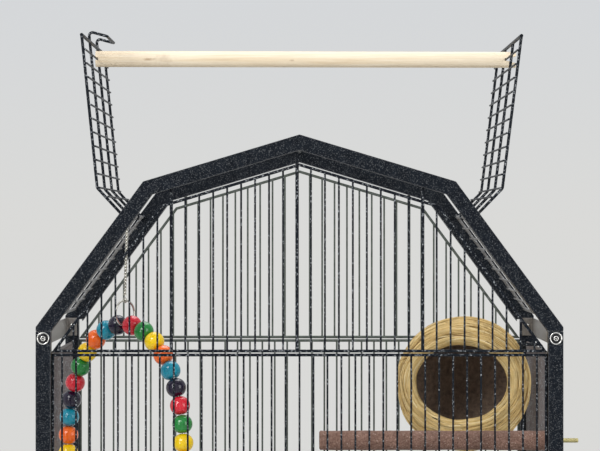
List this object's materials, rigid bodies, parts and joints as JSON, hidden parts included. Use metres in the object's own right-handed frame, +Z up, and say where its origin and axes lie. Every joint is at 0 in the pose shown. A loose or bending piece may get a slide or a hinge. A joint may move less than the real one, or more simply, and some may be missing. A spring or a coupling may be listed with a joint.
{
  "type": "bird cage on stand",
  "caption": "Tall wire bird cage with a barn roof that opens into a play top, on a rolling stand with a shelf and tray.",
  "frame": {"origin": "on the floor under the middle of the cage, where the casters stand", "axes": "+Z up, +X to the right, the front with the door faces -Y"},
  "size_m": [0.598, 0.434, 1.6123],
  "materials": {
    "black_frame": "hammered powder coat",
    "black_wire": "powder coat",
    "pine": "sanded",
    "sand_grit": "rough grit",
    "straw": "coiled straw",
    "yellow_zinc": "yellow zinc plate",
    "bright_steel": "bright plate",
    "stainless": "satin",
    "zinc_steel": "zinc plate",
    "caster_rubber": "matte",
    "bead_red": "gloss lacquer",
    "bead_green": "gloss lacquer",
    "bead_yellow": "gloss lacquer",
    "bead_orange": "gloss lacquer",
    "bead_teal": "gloss lacquer",
    "bead_purple": "gloss lacquer"
  },
  "bodies": {
    "cage": {"back_gable_grille": "black_wire", "back_grille": "black_wire", "back_left_post": "black_frame", "back_right_post": "black_frame", "back_roof_arch": "black_frame", "base_frame": "black_frame", "eave_screws": "bright_steel", "eave_washers": "bright_steel", "front_gable_grille": "black_wire", "front_grille": "black_wire", "front_left_post": "black_frame", "front_right_post": "black_frame", "front_roof_arch": "black_frame", "left_cup_ring": "black_wire", "left_eave_rail": "black_frame", "left_roof_grille": "black_wire", "left_side_grille": "black_wire", "lower_shelf": "black_frame", "nest": "straw", "nest_hooks": "black_wire", "ridge_bar": "black_wire", "right_cup_ring": "black_wire", "right_eave_rail": "black_frame", "right_roof_grille": "black_wire", "right_side_grille": "black_wire", "sand_perch": "sand_grit", "sand_perch_stud": "yellow_zinc", "sand_perch_wing_nut": "yellow_zinc", "stand_legs": "black_frame", "wood_perch": "pine"},
    "left_roof": {"left_roof_panel": "black_wire"},
    "right_roof": {"right_roof_panel": "black_wire"},
    "play_perch": {"play_perch": "pine"},
    "front_door": {"front_door": "black_wire"},
    "door_latch": {"door_latch": "black_wire"},
    "left_feeder": {"left_feeder_door": "black_wire"},
    "right_feeder": {"right_feeder_door": "black_wire"},
    "left_cup": {"left_seed_cup": "stainless"},
    "right_cup": {"right_seed_cup": "stainless"},
    "tray": {"seed_tray": "black_frame"},
    "grate": {"floor_grate": "black_wire"},
    "bead_swing": {"swing_beads_green": "bead_green", "swing_beads_orange": "bead_orange", "swing_beads_purple": "bead_purple", "swing_beads_red": "bead_red", "swing_beads_teal": "bead_teal", "swing_beads_yellow": "bead_yellow", "swing_hanger": "bright_steel", "swing_perch": "pine", "swing_ring": "bright_steel", "swing_wire": "bright_steel"},
    "front_left_fork": {"front_left_caster_fork": "zinc_steel"},
    "front_left_wheel": {"front_left_caster_wheel": "caster_rubber"},
    "front_right_fork": {"front_right_caster_fork": "zinc_steel"},
    "front_right_wheel": {"front_right_caster_wheel": "caster_rubber"},
    "back_left_fork": {"back_left_caster_fork": "zinc_steel"},
    "back_left_wheel": {"back_left_caster_wheel": "caster_rubber"},
    "back_right_fork": {"back_right_caster_fork": "zinc_steel"},
    "back_right_wheel": {"back_right_caster_wheel": "caster_rubber"}
  },
  "joints": [
    {"name": "left_roof_hinge", "type": "hinge", "parent": "cage", "child": "left_roof", "pos_m": [-0.17723, 0, 1.41817], "axis": [0, -1, 0], "range_deg": [0, 84]},
    {"name": "right_roof_hinge", "type": "hinge", "parent": "cage", "child": "right_roof", "pos_m": [0.17723, 0, 1.41817], "axis": [0, 1, 0], "range_deg": [0, 84]},
    {"name": "play_perch_slide", "type": "slide", "parent": "right_roof", "child": "play_perch", "axis": [0, 1, 0], "range_m": [-0.045, 0.045]},
    {"name": "front_door_hinge", "type": "hinge", "parent": "cage", "child": "front_door", "pos_m": [-0.154, -0.2067, 0.935], "axis": [0, 0, -1], "range_deg": [0, 115]},
    {"name": "door_latch_turn", "type": "hinge", "parent": "front_door", "child": "door_latch", "pos_m": [0.1385, -0.2067, 0.96], "axis": [0, 1, 0], "range_deg": [0, 90]},
    {"name": "left_feeder_slide", "type": "slide", "parent": "cage", "child": "left_feeder", "axis": [0, 0, 1], "range_m": [0, 0.105]},
    {"name": "right_feeder_slide", "type": "slide", "parent": "cage", "child": "right_feeder", "axis": [0, 0, 1], "range_m": [0, 0.105]},
    {"name": "left_cup_lift", "type": "slide", "parent": "cage", "child": "left_cup", "axis": [0, 0, 1], "range_m": [0, 0.055]},
    {"name": "right_cup_lift", "type": "slide", "parent": "cage", "child": "right_cup", "axis": [0, 0, 1], "range_m": [0, 0.055]},
    {"name": "tray_slide", "type": "slide", "parent": "cage", "child": "tray", "axis": [0, -1, 0], "range_m": [0, 0.36]},
    {"name": "swing_sway", "type": "hinge", "parent": "cage", "child": "bead_swing", "pos_m": [-0.17723, -0.1194, 1.41817], "axis": [0, -1, 0], "range_deg": [0, 20]},
    {"name": "front_left_swivel", "type": "hinge", "parent": "cage", "child": "front_left_fork", "pos_m": [-0.254, -0.2, 0.062], "axis": [0, 0, 1], "continuous": true},
    {"name": "front_left_roll", "type": "hinge", "parent": "front_left_fork", "child": "front_left_wheel", "pos_m": [-0.274, -0.2, 0.025], "axis": [0, 1, 0], "continuous": true},
    {"name": "front_right_swivel", "type": "hinge", "parent": "cage", "child": "front_right_fork", "pos_m": [0.254, -0.2, 0.062], "axis": [0, 0, 1], "continuous": true},
    {"name": "front_right_roll", "type": "hinge", "parent": "front_right_fork", "child": "front_right_wheel", "pos_m": [0.274, -0.2, 0.025], "axis": [0, 1, 0], "continuous": true},
    {"name": "back_left_swivel", "type": "hinge", "parent": "cage", "child": "back_left_fork", "pos_m": [-0.254, 0.2, 0.062], "axis": [0, 0, 1], "continuous": true},
    {"name": "back_left_roll", "type": "hinge", "parent": "back_left_fork", "child": "back_left_wheel", "pos_m": [-0.274, 0.2, 0.025], "axis": [0, 1, 0], "continuous": true},
    {"name": "back_right_swivel", "type": "hinge", "parent": "cage", "child": "back_right_fork", "pos_m": [0.254, 0.2, 0.062], "axis": [0, 0, 1], "continuous": true},
    {"name": "back_right_roll", "type": "hinge", "parent": "back_right_fork", "child": "back_right_wheel", "pos_m": [0.274, 0.2, 0.025], "axis": [0, 1, 0], "continuous": true},
    {"name": "grate_slide", "type": "slide", "parent": "cage", "child": "grate", "axis": [0, 0, 1], "range_m": [0, 0.08]}
  ]
}
